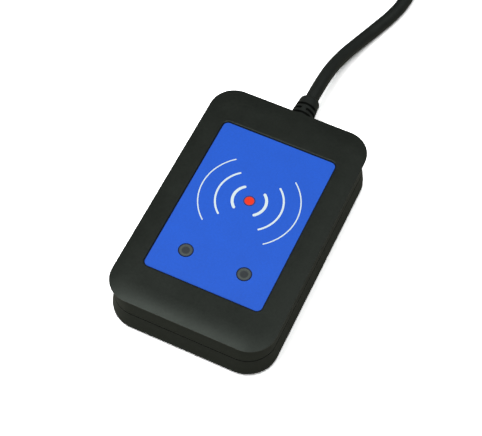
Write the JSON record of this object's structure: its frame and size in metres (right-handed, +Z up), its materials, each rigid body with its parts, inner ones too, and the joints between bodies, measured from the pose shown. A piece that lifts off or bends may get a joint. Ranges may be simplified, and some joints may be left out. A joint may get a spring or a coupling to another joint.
{
  "type": "rfid card reader",
  "caption": "Desktop card reader: flat black plastic case with an overhanging lip, a blue label in a recess on top, round indicator windows and a cord with a plug.",
  "frame": {"origin": "on the table under the middle of the case, without the cord and strain relief", "axes": "+Z up, +Y along the case towards the end where the cord leaves, +X to the right seen from the indicator end"},
  "size_m": [0.0825, 0.2255, 0.0279],
  "materials": {
    "black_plastic": "fine matt moulded texture",
    "ink_white": "screen-printed ink on the label",
    "ink_red": "screen-printed ink on the label",
    "label_blue": "satin printed film",
    "window_grey": "smooth tinted plastic",
    "foot_rubber": "matt",
    "screw_steel": "zinc plated",
    "label_paper": "satin film",
    "board_green": "solder mask",
    "chip_black": "moulded epoxy",
    "solder_tin": "tinned",
    "copper_wire": "enamelled copper",
    "pad_foam": "foam tape",
    "part_tan": "ceramic",
    "capacitor_can": "satin",
    "capacitor_film": "dipped film",
    "led_resin": "clear resin",
    "header_white": "nylon",
    "wire_red": "satin",
    "wire_white": "satin",
    "wire_green": "satin",
    "wire_black": "satin",
    "cord_jacket": "satin soft jacket",
    "tie_coating": "coated twist tie",
    "plug_metal": "plated steel",
    "plug_white": "moulded",
    "contact_gold": "gold plated"
  },
  "bodies": {
    "root": {"top_shell": "black_plastic", "bottom_shell": "black_plastic", "front_label": "label_blue", "led_windows": "window_grey", "rubber_feet": "foot_rubber", "case_screws": "screw_steel", "rating_label": "label_paper", "main_board": "board_green", "board_screws": "screw_steel", "microcontroller": "chip_black", "reader_chip": "chip_black", "chip_legs": "solder_tin", "voltage_regulator": "chip_black", "crystal": "capacitor_can", "chip_parts": "part_tan", "tuning_capacitor": "capacitor_film", "supply_capacitor": "capacitor_can", "buzzer": "chip_black", "status_leds": "led_resin", "antenna_coil": "copper_wire", "coil_pads": "pad_foam", "coil_leads": "copper_wire", "cord_header": "header_white", "header_pins": "solder_tin", "crimp_housing": "header_white", "wire_red": "wire_red", "wire_white": "wire_white", "wire_green": "wire_green", "wire_black": "wire_black", "cord_jacket_end": "cord_jacket", "strain_relief": "cord_jacket", "usb_cord": "cord_jacket", "cord_coil": "cord_jacket", "cord_tail": "cord_jacket", "coil_tie": "tie_coating", "plug_body": "cord_jacket", "plug_shell": "plug_metal", "plug_insulator": "plug_white", "plug_contacts": "contact_gold"}
  },
  "joints": []
}
